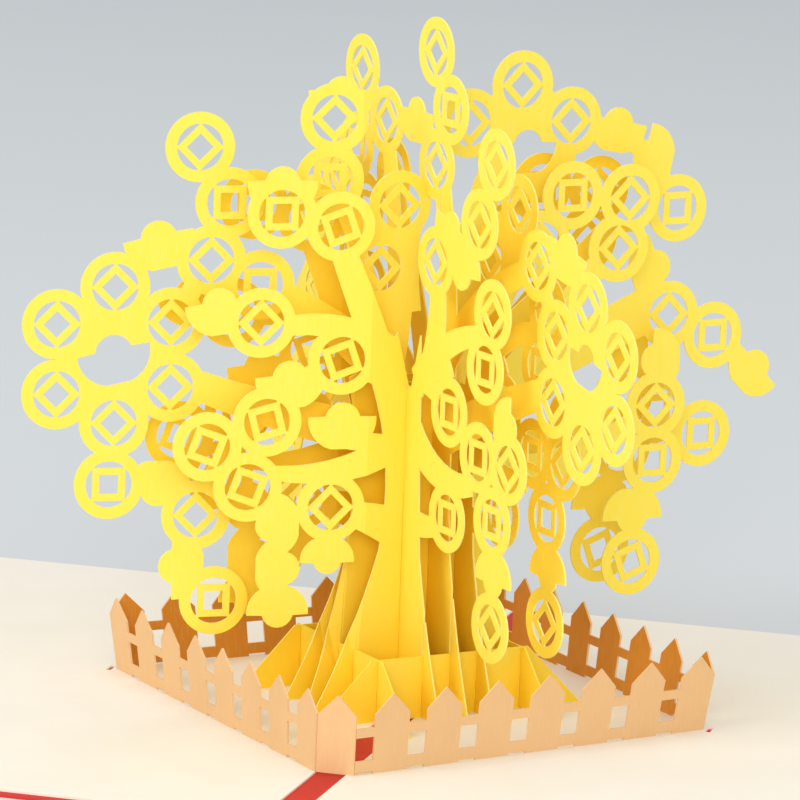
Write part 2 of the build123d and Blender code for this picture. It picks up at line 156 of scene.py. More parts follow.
CENTRE_A_TWIGS = [
    ((-17.2, 86.2), (-16.7, 96.2)), ((-8, 71.7), (-4.8, 81.8)), ((17.3, 100.6), (7.7, 94.7)),
    ((17.3, 100.6), (26.7, 94.4)), ((26.7, 94.4), (35.6, 92.6)), ((35.6, 92.6), (42.3, 88)),
    ((42.3, 88), (47.9, 79.1)), ((38.7, 81.1), (47.9, 79.1)), ((43.2, 69), (47.1, 61.2)),
    ((47.1, 61.2), (56, 57.2)), ((56, 57.2), (64.1, 50.7)), ((45.5, 45), (54.5, 40.5)),
]
CENTRE_A_PLATE = (18.6, 91.0)
CENTRE_A_PLATE_INGOT = (18.6, 89.6, 0, 0.9)
CENTRE_B_COINS = [
    (-1.9, 106.7, 45), (-7.2, 98.0, 0), (-3.2, 88.6, 45), (13.9, 93.6, 45), (22.7, 101.1, 45),
    (24.0, 88.0, 0), (33.0, 80.0, 45), (30.0, 69.0, 0), (38.0, 60.0, 45), (34.0, 48.0, 0),
]
CENTRE_B_INGOTS = [(3.9, 95.0, 0, 0.92)]
CENTRE_B_BOUGHS = [
    ((-9, 49), (-8.5, 70), (-4, 90), 5, 5), ((8.5, 48), (9.5, 72), (14, 94), 5.5, 4),
    ((7, 52), (20, 68), (31, 79), 6, 4), ((6, 44), (22, 52), (37, 60), 6, 4),
]
CENTRE_B_TWIGS = [
    ((-1.9, 106.7), (-7.2, 98)), ((-7.2, 98), (-3.2, 88.6)), ((3.9, 95), (-3.2, 92)),
    ((13.9, 93.6), (22.7, 101.1)), ((13.9, 93.6), (24, 88)), ((30, 69), (33, 80)), ((38, 60), (34, 48)),
]

# The second family's middle slice has the arm's ring of coins alone, 4 mm higher
CENTRE_LIFT = 4.0
RING_COINS = ARM_COINS[2:9]
RING_INGOTS = ARM_INGOTS[:1]
RING_BOUGHS = ARM_BOUGHS[:2]
RING_TWIGS = ARM_TWIGS[2:4]
CENTRE_B_HUB_INGOT = (-51.6, 64.2, 12, 0.85)

# The rear slices repeat the front ones, apart from the top ingot and these
BACK_B_MISSING_COINS = [(-26.4, 82.6, 45), (-31.0, 92.7, 45)]
BACK_B_MISSING_TWIG = ((-26.4, 82.6), (-31, 92.7))
BACK_B_COIN = (-21.6, 83.8, 45)

# Trunks: half widths at the root, waist and shoulder, and half width and height of each point above
SIDE_A_STEM = (20.5, 8.5, 11.6, [(7.2, 62.0), (4.8, 53.0)])
SIDE_B_STEM = (19.6, 9.9, 9.4, [(8.8, 62.0), (6.4, 53.0)])
CENTRE_A_STEM = (19.2, 11.6, 13.0, [(6.4, 58.0), (4.8, 52.0)])
CENTRE_B_STEM = (20.0, 11.1, 12.0, [(7.4, 58.0), (5.6, 52.0)])
FLARE_HEIGHT = 12.0
CALF_HEIGHT = 26.0
CALF_SPREAD = 0.9
WAIST_HEIGHT = 39.0
SHOULDER_HEIGHT = 54.0

# Ingot in widths of itself, and the windows of a coin
INGOT_DOME = ((0.25, 0.14), (0, 0.34), (-0.25, 0.14))
INGOT_HULL = ((-0.5, 0.13), (-0.41, -0.17), (-0.17, -0.33))
INGOT_HULL_STEPS = 6
PLATE_SIDES = 32
WINDOW_CORNER = 0.10
WINDOW_FLAT = 0.93

# Slots in metres
LOW_SLICE_OFFSET = 13.3 * MM
SLOT_START = -1 * MM
ROOT_SLOT_TOP = 24 * MM
CROWN_SIDE = 101.0 * MM
CROWN_CENTRE = 92.5 * MM

# Fence in millimetres
PICKETS = 8
PICKET_SHARE = 0.655
PICKET_TIP = 12.5
PICKET_SHOULDER = 9.3
RAILS = ((0, 2.2), (5.9, 7.4))
FOOT_NOTCH = 0.4
SEAM = 0.05

# Distances in metres that count as the same place
WELD = 1e-7
NEAR = 1e-6

# Paper: texture scales, relief in metres and grain directions
MOTTLE_SCALE = 55
FIBRE_SCALE = 2600
PULP_SCALE = 5200
FLECK_SCALE = 900
FLECK_STRENGTH = 0.10
LAYER_SCALE = 1900
NICK_SCALE = 700
FACE_RELIEF = 0.00004
EDGE_RELIEF = 0.00005
UPRIGHT_GRAIN = (1, 1, 0.12)
LEVEL_GRAIN = (0.12, 1, 1)
LAYER_GRAIN = (1, 1, 6)
PAPER_SHEEN = 0.4
PAGE_FIBRE = (0.96, 0.92, 0.86)
COVER_FIBRE = (0.72, 0.08, 0.05)
# Painted shade: how far the occlusion test reaches, and the range over which the yellow card turns a deeper
# orange in narrow gaps
GAP_REACH = 0.022
GAP_RANGE = (0.15, 0.75)

# Studio in metres and watts: each lamp's place, size and power
LAMPS = {
    "right_softbox": ((1.02, -0.98, 0.90), 0.9, 2.6),
    "top_softbox": ((-0.10, 0.35, 1.60), 1.2, 4.6),
    "left_softbox": ((-1.0, -1.0, 0.90), 0.9, 8.2),
    "front_softbox": ((0.34, -1.34, 0.50), 0.8, 7.0),
}
LAMP_COLOUR = (1.0, 0.99, 0.97)
LAMP_TARGET = (0, 0, 0.05)
SKY_COLOUR = (0.93, 0.96, 1.0)
SKY_STRENGTH = 0.66
FLOOR_REACH = 5.0
FLOOR_SIDES = 96
CLOUD_SCALE = 3
FLOOR_GRAIN_SCALE = 900
FLOOR_RELIEF = 0.00003

# Camera: place in metres, turns in degrees, lens and sensor in millimetres
CAMERA_PLACE = (0.2155, -0.7628, 0.20185)
CAMERA_YAW = 15.86
CAMERA_PITCH = 10.75
CAMERA_ROLL = 1.95
CAMERA_LENS = 225
CAMERA_SENSOR = 36


# Sizes and colours


class PopupSizes(bpy.types.PropertyGroup):
    """Sizes of the paper pieces."""

    stock: bpy.props.FloatProperty(
        name="Slice thickness", description="Thickness of the yellow card",
        default=0.3 * MM, unit="LENGTH", precision=5)
    coin: bpy.props.FloatProperty(
        name="Coin diameter", description="Outside diameter of a cut coin",
        default=11.3 * MM, unit="LENGTH", precision=4)
    coin_sides: bpy.props.IntProperty(
        name="Coin sides", description="Straight cuts that make up one coin's rim", default=36)
    coin_ring: bpy.props.FloatProperty(
        name="Coin ring", description="Inner radius of the ring over its outer radius",
        default=0.67, subtype="FACTOR")
    coin_frame: bpy.props.FloatProperty(
        name="Coin frame", description="Half side of the square frame over the coin's radius",
        default=0.474, subtype="FACTOR")
    coin_hole: bpy.props.FloatProperty(
        name="Coin hole", description="Half side of the square hole over the coin's radius",
        default=0.277, subtype="FACTOR")
    ingot: bpy.props.FloatProperty(
        name="Ingot width", description="Width of an ingot of full size over its horns",
        default=12 * MM, unit="LENGTH", precision=4)
    plate: bpy.props.FloatProperty(
        name="Plate diameter", description="Diameter of the plate inside a ring of coins",
        default=19 * MM, unit="LENGTH", precision=4)
    twig: bpy.props.FloatProperty(
        name="Twig width", description="Width of the bridge between two coins",
        default=3.2 * MM, unit="LENGTH", precision=4)
    slot: bpy.props.FloatProperty(
        name="Slot width", description="Width of the slot that the crossing slice sits in",
        default=0.4 * MM, unit="LENGTH", precision=5)
    split: bpy.props.FloatProperty(
        name="Slot split", description="Height at which the slots of the two families meet",
        default=35.5 * MM, unit="LENGTH", precision=4)
    low_split: bpy.props.FloatProperty(
        name="Low slot split", description="Height at which the slots of the low slices meet",
        default=5.2 * MM, unit="LENGTH", precision=4)
    curl: bpy.props.FloatProperty(
        name="Arm curl", description="How far the left arms are bent back",
        default=math.radians(14), subtype="ANGLE")
    fold: bpy.props.FloatProperty(
        name="Fold place", description="Distance from the tree's middle to the arms' bend",
        default=12 * MM, unit="LENGTH", precision=4)
    fold_base: bpy.props.FloatProperty(
        name="Fold base", description="Height from which the arms are bent",
        default=11 * MM, unit="LENGTH", precision=4)
    fence_diagonal: bpy.props.FloatProperty(
        name="Fence diagonal", description="Distance between opposite corners of the fence",
        default=100 * MM, unit="LENGTH", precision=4)
    fence_stock: bpy.props.FloatProperty(
        name="Fence thickness", description="Thickness of the tan card",
        default=0.35 * MM, unit="LENGTH", precision=5)
    fence_lean: bpy.props.FloatProperty(
        name="Fence lean", description="Outward lean of the side corners over the fence's height",
        default=0.04, subtype="FACTOR")


class PopupColours(bpy.types.PropertyGroup):
    """Colours of the paper and of the studio."""

    tree: bpy.props.FloatVectorProperty(
        name="Tree card", description="Face of the yellow card", subtype="COLOR",
        size=3, min=0, max=1, default=(1.0, 0.82, 0.095))
    tree_deep: bpy.props.FloatVectorProperty(
        name="Tree card, deep", description="Deeper tone in the yellow card's mottle", subtype="COLOR",
        size=3, min=0, max=1, default=(1.0, 0.80, 0.07))
    # Painted shade: the deeper orange the yellow card is given in narrow gaps between the slices, where shade
    # falls
    tree_painted_shade: bpy.props.FloatVectorProperty(
        name="Tree card, in gaps", description="Tone of the yellow card in narrow gaps", subtype="COLOR",
        size=3, min=0, max=1, default=(1.0, 0.64, 0.003))
    tree_edge: bpy.props.FloatVectorProperty(
        name="Tree card, cut", description="Cut edge of the yellow card", subtype="COLOR",
        size=3, min=0, max=1, default=(1.0, 0.88, 0.34))
    page: bpy.props.FloatVectorProperty(
        name="Page", description="Face of the cream pages", subtype="COLOR",
        size=3, min=0, max=1, default=(0.92, 0.86, 0.755))
    page_deep: bpy.props.FloatVectorProperty(
        name="Page, deep", description="Deeper tone in the page's mottle", subtype="COLOR",
        size=3, min=0, max=1, default=(0.90, 0.835, 0.72))
    cover: bpy.props.FloatVectorProperty(
        name="Cover", description="Face of the red cover", subtype="COLOR",
        size=3, min=0, max=1, default=(0.68, 0.025, 0.018))
    cover_deep: bpy.props.FloatVectorProperty(
        name="Cover, deep", description="Deeper tone in the cover's mottle", subtype="COLOR",
        size=3, min=0, max=1, default=(0.53, 0.02, 0.015))
    fence: bpy.props.FloatVectorProperty(
        name="Fence outside", description="Outer face of the tan fence", subtype="COLOR",
        size=3, min=0, max=1, default=(0.80, 0.49, 0.225))
    # Painted shade: the inner face is the same tan card as the outer one, drawn darker and browner as if in
    # shade
    fence_inside_painted_shade: bpy.props.FloatVectorProperty(
        name="Fence inside", description="Inner face of the tan fence", subtype="COLOR",
        size=3, min=0, max=1, default=(0.70, 0.27, 0.02))
    fence_edge: bpy.props.FloatVectorProperty(
        name="Fence, cut", description="Cut edge of the tan card", subtype="COLOR",
        size=3, min=0, max=1, default=(0.84, 0.58, 0.34))
    backdrop: bpy.props.FloatVectorProperty(
        name="Backdrop", description="The plain floor that fills the background", subtype="COLOR",
        size=3, min=0, max=1, default=(0.665, 0.69, 0.70))


def sizes():
    return bpy.context.scene.popup_sizes


def colours():
    return bpy.context.scene.popup_colours


# Shader maths and finishes


class Value:
    """A shader socket that is used in an expression as a number is."""

    def __init__(self, tree, socket):
        self.tree = tree
        self.socket = socket

    def _math(self, operation, first, second):
        node = self.tree.nodes.new("ShaderNodeMath")
        node.operation = operation
        for place, value in enumerate((first, second)):
            if isinstance(value, Value):
                self.tree.links.new(value.socket, node.inputs[place])
            else:
                node.inputs[place].default_value = value
        return Value(self.tree, node.outputs[0])

    def __add__(self, other):
        return self._math("ADD", self, other)

    def __radd__(self, other):
        return self._math("ADD", other, self)

    def __sub__(self, other):
        return self._math("SUBTRACT", self, other)

    def __mul__(self, other):
        return self._math("MULTIPLY", self, other)

    def __rmul__(self, other):
        return self._math("MULTIPLY", other, self)


class Finish:
    """A material under construction: one method adds any node and joins its sockets.

    A socket goes by its name, with _ for a space, or by i and its number where names repeat.
    """

    def __init__(self, name):
        self.material = bpy.data.materials.new(name)
        self.material.use_nodes = True
        self.tree = self.material.node_tree
        self.tree.nodes.clear()
        self.output = self.tree.nodes.new("ShaderNodeOutputMaterial")

    def node(self, kind, settings=None, **values):
        node = self.tree.nodes.new(kind)
        for name, setting in (settings or {}).items():
            setattr(node, name, setting)
        for name, value in values.items():
            numbered = name[0] == "i" and name[1:].isdigit()
            socket = node.inputs[int(name[1:]) if numbered else name.replace("_", " ")]
            if isinstance(value, Value):
                self.tree.links.new(value.socket, socket)
            else:
                socket.default_value = value
        return node

    def value(self, node, output=0):
        return Value(self.tree, node.outputs[output])

    def place(self):
        return self.value(self.node("ShaderNodeTexCoord"), "Object")

    def stretched(self, stretch):
        return self.value(self.node("ShaderNodeMapping", Vector=self.place(), Scale=stretch))

    def noise(self, where, scale, detail=3.0, roughness=0.55):
        return self.value(self.node(
            "ShaderNodeTexNoise", Vector=where, Scale=scale, Detail=detail, Roughness=roughness))

    def spots(self, where, scale):
        return self.value(self.node(
            "ShaderNodeTexVoronoi", {"feature": "F1"}, Vector=where, Scale=scale), "Distance")

    def ranged(self, value, low, high, first, last):
        return self.value(self.node(
            "ShaderNodeMapRange", Value=value, From_Min=low, From_Max=high, To_Min=first, To_Max=last))

    def mixed(self, factor, first, second):
        mix = self.node("ShaderNodeMix", {"data_type": "RGBA"}, i0=factor)
        for place, colour in ((6, first), (7, second)):
            if isinstance(colour, Value):
                self.tree.links.new(colour.socket, mix.inputs[place])
            else:
                mix.inputs[place].default_value = (*colour, 1)
        return Value(self.tree, mix.outputs[2])

    def bump(self, height, distance, strength):
        return self.value(self.node("ShaderNodeBump", Height=height, Distance=distance, Strength=strength))

    def paper(self, colour, roughness, normal):
        shader = self.node("ShaderNodeBsdfPrincipled", Base_Color=colour, Roughness=roughness, Normal=normal)
        shader.inputs["Specular IOR Level"].default_value = PAPER_SHEEN
        self.tree.links.new(shader.outputs[0], self.output.inputs["Surface"])
        return self.material


def dimmed(colour, share):
    return [channel * share for channel in colour]


def card_face(name, face, deep, pale, grain_stretch, painted_shade=None):
    """Coloured card: soft mottle, long fibres, pale flecks, uneven sheen, and, when given, painted shade: a
    deeper tone in narrow gaps.
    """
    finish = Finish(name)
    where = finish.place()
    mottle = finish.ranged(finish.noise(where, MOTTLE_SCALE, 4), 0.32, 0.68, 0, 1)
    fibres = finish.noise(finish.stretched(grain_stretch), FIBRE_SCALE, 3, 0.6)
    pulp = finish.noise(where, PULP_SCALE, 2)
    flecks = finish.ranged(finish.spots(where, FLECK_SCALE), 0.05, 0.16, 1, 0)
    toned = finish.mixed(mottle, deep, face)
    streaked = finish.mixed(finish.ranged(fibres, 0.45, 0.75, 0, 0.22), toned, pale)
    coloured = finish.mixed(flecks * FLECK_STRENGTH, streaked, pale)
    # Painted shade: an ambient occlusion mask mixes in the deeper orange where the card sits in narrow gaps
    if painted_shade:
        gap = finish.node("ShaderNodeAmbientOcclusion", {"samples": 1}, Distance=GAP_REACH)
        openness = finish.ranged(finish.value(gap, "AO"), *GAP_RANGE, 0, 1)
        coloured = finish.mixed(openness, painted_shade, coloured)
    roughness = 0.70 + 0.16 * (fibres - 0.5) + 0.10 * (mottle - 0.5)
    height = 0.6 * fibres + 0.4 * pulp
    return finish.paper(coloured, roughness, finish.bump(height, FACE_RELIEF, 0.35))


def card_edge(name, face, edge):
    """A cut edge: the loose layers of the sheet show as fine pale and dark lines."""
    finish = Finish(name)
    where = finish.place()
    layers = finish.noise(finish.stretched(LAYER_GRAIN), LAYER_SCALE, 2)
    nicks = finish.noise(where, NICK_SCALE, 3)
    coloured = finish.mixed(finish.ranged(layers, 0.35, 0.65, 0.15, 0.85), face, edge)
    height = 0.5 * layers + 0.5 * nicks
    return finish.paper(coloured, 0.78 + 0.12 * (nicks - 0.5), finish.bump(height, EDGE_RELIEF, 0.5))


def finish_named(name):
    return bpy.data.materials[name]


# Shapes cut from a sheet


def arc_through(first, middle, last, steps=ARC_STEPS):
    """Points along the circle through three points."""
    ax, az = first
    bx, bz = middle
    cx, cz = last
    twice = 2 * (ax * (bz - cz) + bx * (cz - az) + cx * (az - bz))
    if abs(twice) < 1e-12:
        return [first, middle, last]
    a2, b2, c2 = ax * ax + az * az, bx * bx + bz * bz, cx * cx + cz * cz
    ox = (a2 * (bz - cz) + b2 * (cz - az) + c2 * (az - bz)) / twice
    oz = (a2 * (cx - bx) + b2 * (ax - cx) + c2 * (bx - ax)) / twice
    radius = math.hypot(ax - ox, az - oz)
    start = math.atan2(az - oz, ax - ox)
    past = (math.atan2(bz - oz, bx - ox) - start) % math.tau
    sweep = (math.atan2(cz - oz, cx - ox) - start) % math.tau
    if past > sweep:
        sweep -= math.tau
    return [
        (ox + radius * math.cos(start + sweep * k / steps), oz + radius * math.sin(start + sweep * k / steps))
        for k in range(steps + 1)
    ]


def placed(points, across, up, turn):
    c, s = math.cos(math.radians(turn)), math.sin(math.radians(turn))
    return [(across + x * c - z * s, up + x * s + z * c) for x, z in points]


def sheet_cut(bm, outline, thickness):
    """Adds one closed outline as a sheet of that thickness, standing in the XZ plane."""
    corners = [bm.verts.new((x, -thickness / 2, z)) for x, z in outline]
    face = bm.faces.new(corners)
    face.normal_update()
    if face.normal.y < 0:
        face.normal_flip()
    grown = bmesh.ops.extrude_face_region(bm, geom=[face])
    moved = [v for v in grown["geom"] if isinstance(v, bmesh.types.BMVert)]
    bmesh.ops.translate(bm, verts=moved, vec=(0, thickness, 0))


def disc_outline(across, up, diameter, sides):
    radius = diameter / 2
    angles = [math.tau * k / sides for k in range(sides)]
    return [(across + radius * math.cos(angle), up + radius * math.sin(angle)) for angle in angles]


def square_outline(across, up, half, turn):
    return placed([(-half, -half), (half, -half), (half, half), (-half, half)], across, up, turn)


def coin_windows(across, up, turn):
    """The four curved windows between a coin's ring and its square frame."""
    size = sizes()
    radius = size.coin / 2
    ring = size.coin_ring * radius
    side = size.coin_frame * radius
    reach = math.pi / 4 - WINDOW_CORNER
    windows = []
    for quarter in range(4):
        rim = arc_through(
            (ring * math.cos(reach), ring * math.sin(reach)), (ring, 0),
            (ring * math.cos(reach), -ring * math.sin(reach)))
        low = min(side * WINDOW_FLAT, ring * math.sin(reach))
        window = rim + [(side, -low), (side, low)]
        windows.append(placed(window, across, up, turn + 90 * quarter))
    return windows


def ingot_outline(across, up, turn, scale):
    """A boat with a round cargo: a dome, two horns and a rounded hull."""
    width = sizes().ingot * scale
    dome = arc_through(*[(x * width, z * width) for x, z in INGOT_DOME])
    left = arc_through(*[(x * width, z * width) for x, z in INGOT_HULL], INGOT_HULL_STEPS)
    right = [(-x, z) for x, z in reversed(left)]
    return placed(dome + left + right, across, up, turn)


def bough_outline(start, middle, end, thick, thin):
    a, m, b = (Vector(p) * MM for p in (start, middle, end))
    ways = [(m - a).normalized(), (b - a).normalized(), (b - m).normalized()]
    halves = [thick * MM / 2, (thick + thin) * MM / 4, thin * MM / 2]
    upper = [p + Vector((-d.y, d.x)) * h for p, d, h in zip((a, m, b), ways, halves)]
    lower = [p - Vector((-d.y, d.x)) * h for p, d, h in zip((a, m, b), ways, halves)]
    return arc_through(*[tuple(p) for p in upper]) + arc_through(*[tuple(p) for p in reversed(lower)])


def twig_outline(first, second):
    a, b = Vector(first) * MM, Vector(second) * MM
    side = (b - a).normalized()
    side = Vector((-side.y, side.x)) * sizes().twig / 2
    return [tuple(a + side), tuple(a - side), tuple(b - side), tuple(b + side)]


def trunk_outline(root, waist, shoulder, crown):
    """The trunk from its half widths in millimetres: a flared root, a waist and the points above it."""
    right = [(root, 0)]
    calf = (waist + CALF_SPREAD, CALF_HEIGHT)
    right += arc_through((root, 0), ((root + waist) / 2, FLARE_HEIGHT), calf)[1:]
    right += arc_through(calf, (waist, WAIST_HEIGHT), (shoulder, SHOULDER_HEIGHT))[1:]
    right += crown
    outline = right + [(-x, z) for x, z in reversed(right)]
    return [(x * MM, z * MM) for x, z in outline]


def slot_outline(across, low, high):
    half = sizes().slot / 2
    return [(across - half, low), (across + half, low), (across + half, high), (across - half, high)]


def raised(items):
    """Coins, ingots or plates, higher by the middle slice's lift."""
    return [(item[0], item[1] + CENTRE_LIFT, *item[2:]) for item in items]


def raised_points(rows):
    """Twigs, higher by the lift at both ends."""
    return [tuple(raised(row)) for row in rows]


def raised_boughs(rows):
    """Boughs, higher by the lift, apart from their start at the trunk."""
    return [(start, *raised([middle, end]), *widths) for start, middle, end, *widths in rows]


# What each drawing holds: trunk, coins, ingots, boughs, twigs, plates and the ingots cut out of plates
DRAWINGS = {
    "side_a": (SIDE_A_STEM, SIDE_A_COINS, SIDE_A_INGOTS, SIDE_A_BOUGHS, SIDE_A_TWIGS, [], []),
    "side_b": (SIDE_B_STEM, SIDE_B_COINS, SIDE_B_INGOTS, SIDE_B_BOUGHS, SIDE_B_TWIGS, [], []),
    "centre_a": (
        CENTRE_A_STEM, ARM_COINS + CENTRE_A_COINS, ARM_INGOTS + CENTRE_A_INGOTS,
        ARM_BOUGHS + CENTRE_A_BOUGHS, ARM_TWIGS + CENTRE_A_TWIGS,
        [ARM_HUB, CENTRE_A_PLATE], [ARM_HUB_INGOT, CENTRE_A_PLATE_INGOT]),
    "centre_b": (
        CENTRE_B_STEM, raised(RING_COINS) + CENTRE_B_COINS, raised(RING_INGOTS) + CENTRE_B_INGOTS,
        raised_boughs(RING_BOUGHS) + CENTRE_B_BOUGHS, raised_points(RING_TWIGS) + CENTRE_B_TWIGS,
        raised([ARM_HUB]), [CENTRE_B_HUB_INGOT]),
    "back_a": (SIDE_A_STEM, SIDE_A_COINS, SIDE_A_INGOTS[1:], SIDE_A_BOUGHS, SIDE_A_TWIGS, [], []),
    "back_b": (
        SIDE_B_STEM, [coin for coin in SIDE_B_COINS if coin not in BACK_B_MISSING_COINS] + [BACK_B_COIN],
        SIDE_B_INGOTS, SIDE_B_BOUGHS, [twig for twig in SIDE_B_TWIGS if twig != BACK_B_MISSING_TWIG], [], []),
}


def mesh_from(bm, name):
    mesh = bpy.data.meshes.new(name)
    bm.to_mesh(mesh)
    bm.free()
    return mesh


def cut_away(solid_mesh, hole_mesh, name):
    """One clean mesh: everything in the first, less everything in the second."""
    solid = bpy.data.objects.new(name + "_solid", solid_mesh)
    holes = bpy.data.objects.new(name + "_holes", hole_mesh)
    for obj in (solid, holes):
        bpy.context.scene.collection.objects.link(obj)
    cut = solid.modifiers.new("Cut", "BOOLEAN")
    cut.operation = "DIFFERENCE"
    cut.solver = "EXACT"
    cut.use_self = True
    cut.use_hole_tolerant = False
    cut.object = holes
    bpy.context.view_layer.update()
    seen = solid.evaluated_get(bpy.context.evaluated_depsgraph_get())
    result = bpy.data.meshes.new_from_object(seen)
    for obj in (solid, holes):
        bpy.data.objects.remove(obj)
    result.name = name
    return result


def slot_spans(name):
    """The slots of one tall slice: place along it, lower end and upper end."""
    size = sizes()
    tall = [-SLICE_SPACING, 0, SLICE_SPACING]
    low = [-LOW_SLICE_OFFSET, LOW_SLICE_OFFSET]
    if name.endswith("_a"):
        return [(x, SLOT_START, size.split) for x in tall] + [(x, SLOT_START, size.low_split) for x in low]
    crown = CROWN_CENTRE if name == "centre_b" else CROWN_SIDE
    return [(x, size.split, crown) for x in tall] + [(x, size.low_split, ROOT_SLOT_TOP) for x in low]


def slice_mesh(name):
    """Cuts one tall slice flat, in its own plane: X along it, Z up."""
    size = sizes()
    stem, coins, ingots, boughs, twigs, plates, plate_ingots = DRAWINGS[name]
    stock = size.stock
    cut_depth = 3 * stock
    solid = bmesh.new()
    sheet_cut(solid, trunk_outline(*stem), stock)
    for bough in boughs:
        sheet_cut(solid, bough_outline(*bough), stock)
    for twig in twigs:
        sheet_cut(solid, twig_outline(*twig), stock)
    for across, up in plates:
        sheet_cut(solid, disc_outline(across * MM, up * MM, size.plate, PLATE_SIDES), stock)
    for across, up, turn in coins:
        sheet_cut(solid, disc_outline(across * MM, up * MM, size.coin, size.coin_sides), stock)
    for across, up, turn, scale in ingots:
        sheet_cut(solid, ingot_outline(across * MM, up * MM, turn, scale), stock)
    holes = bmesh.new()
    for across, up, turn in coins:
        half = size.coin_hole * size.coin / 2
        sheet_cut(holes, square_outline(across * MM, up * MM, half, turn), cut_depth)
        for window in coin_windows(across * MM, up * MM, turn):
            sheet_cut(holes, window, cut_depth)
    for across, up, turn, scale in plate_ingots:
        sheet_cut(holes, ingot_outline(across * MM, up * MM, turn, scale), cut_depth)
    for across, low, high in slot_spans(name):
        sheet_cut(holes, slot_outline(across, low, high), cut_depth)
    return cut_away(mesh_from(solid, name), mesh_from(holes, name + "_cuts"), name)


def bend_back(bm):
    """Bends the left arms back along one upright line."""
    size = sizes()
    plane = Vector((-size.fold, 0, 0))
    geometry = bm.verts[:] + bm.edges[:] + bm.faces[:]
    bmesh.ops.bisect_plane(bm, geom=geometry, dist=WELD, plane_co=plane, plane_no=(1, 0, 0))
    arm = [v for v in bm.verts if v.co.x < -size.fold - NEAR and v.co.z > size.fold_base]
    pivot = Vector((-size.fold, -size.stock / 2, 0))
    bmesh.ops.rotate(bm, verts=arm, cent=pivot, matrix=Matrix.Rotation(-size.curl, 3, "Z"))


def drop_slivers(bm):
    """Keeps the largest island, without the slivers that a slot cuts free."""
    unseen = dict.fromkeys(bm.verts)
    islands = []
    while unseen:
        front = [next(iter(unseen))]
        del unseen[front[0]]
        island = []
        while front:
            vert = front.pop()
            island.append(vert)
            for edge in vert.link_edges:
                other = edge.other_vert(vert)
                if other in unseen:
                    del unseen[other]
                    front.append(other)
        islands.append(island)
    islands.sort(key=len)
    for island in islands[:-1]:
        bmesh.ops.delete(bm, geom=island, context="VERTS")


def finished_piece(bm, name, materials, nodes):
    bmesh.ops.remove_doubles(bm, verts=bm.verts, dist=WELD)
    bmesh.ops.recalc_face_normals(bm, faces=bm.faces)
    mesh = mesh_from(bm, name)
    piece = bpy.data.objects.new(name, mesh)
    bpy.context.scene.collection.objects.link(piece)
    for material in materials:
        mesh.materials.append(finish_named(material))
    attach(piece, "root")
    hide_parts(*nodes)


def dress_node(name, finish):
    """Gives a node that is carried over one finish all over."""
    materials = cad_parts[name].data.materials
    for place in range(len(materials)):
        materials[place] = finish_named(finish)


def fence_wall_mesh(count, width, gap, lead):
    """One flat wall of pickets and rails that starts at X 0 and stands on the page."""
    stock = sizes().fence_stock
    step = width + gap
    starts = [lead + number * step for number in range(count)]
    end = starts[-1] + width
    solid = bmesh.new()
    for low, high in RAILS:
        if end > width:
            sheet_cut(solid, [(0, low * MM), (end, low * MM), (end, high * MM), (0, high * MM)], stock)
    for left in starts:
        outline = [
            (left, 0), (left + width, 0), (left + width, PICKET_SHOULDER * MM),
            (left + width / 2, PICKET_TIP * MM), (left, PICKET_SHOULDER * MM),
        ]
        sheet_cut(solid, outline, stock)
    holes = bmesh.new()
    for left in starts:
        if left > 0:
            top = FOOT_NOTCH * MM
            notch = [(left - gap, -top), (left, -top), (left, top), (left - gap, top)]
            sheet_cut(holes, notch, 3 * stock)
    if not holes.faces:
        holes.free()
        return mesh_from(solid, "fence_wall")
    return cut_away(mesh_from(solid, "fence_wall"), mesh_from(holes, "fence_wall_cuts"), "fence_wall")


def trim_end(bm, place, side):
    """Cuts the sheet off square at one end and closes the cut."""
    geometry = bm.verts[:] + bm.edges[:] + bm.faces[:]
    cut = bmesh.ops.bisect_plane(
        bm, geom=geometry, dist=WELD, plane_co=(place, 0, 0), plane_no=(side, 0, 0), clear_outer=True)
    rim = [e for e in cut["geom_cut"] if isinstance(e, bmesh.types.BMEdge)]
    bmesh.ops.contextual_create(bm, geom=rim)


def mark_fence_faces(bm, outward):
    """Outer face, inner face and cut edges take the fence's three finishes; the inner face's finish is the
    tan card with painted shade.
    """
    bm.normal_update()
    for face in bm.faces:
        out = face.normal.y * outward
        face.material_index = 0 if out > 0.9 else 1 if out < -0.9 else 2


def family_place(family, offset):
    """From a slice's own plane to its place in the tree."""
    turn, side = (45, offset) if family == "a" else (135, -offset)
    base = Matrix.Translation((0, TREE_SHIFT, PAGE_TOP))
    return base @ Matrix.Rotation(math.radians(turn), 4, "Z") @ Matrix.Translation((0, side, 0))


# Operators


class POPUP_OT_finishes(bpy.types.Operator):
    """Make the card, edge and page finishes"""

    bl_idname = "popup.finishes"
    bl_label = "Paper finishes"

    def execute(self, context):
        tone = colours()
        # The yellow card's face carries painted shade in its narrow gaps
        card_face(
            "tree_card_face", tone.tree, tone.tree_deep, tone.tree_edge, UPRIGHT_GRAIN, tone.tree_painted_shade)
        card_edge("tree_card_cut", tone.tree, tone.tree_edge)
        card_face("page_card_face", tone.page, tone.page_deep, PAGE_FIBRE, LEVEL_GRAIN)
        card_face("cover_card_face", tone.cover, tone.cover_deep, COVER_FIBRE, LEVEL_GRAIN)
        card_face(
            "fence_card_outside", tone.fence, dimmed(tone.fence, 0.93), tone.fence_edge, UPRIGHT_GRAIN)
        # The inner face's finish is the tan card with painted shade
        card_face(
            "fence_card_inside_painted_shade", tone.fence_inside_painted_shade, dimmed(tone.fence_inside_painted_shade, 0.9), tone.fence, UPRIGHT_GRAIN)
        card_edge("fence_card_cut", tone.fence, tone.fence_edge)
        return {"FINISHED"}


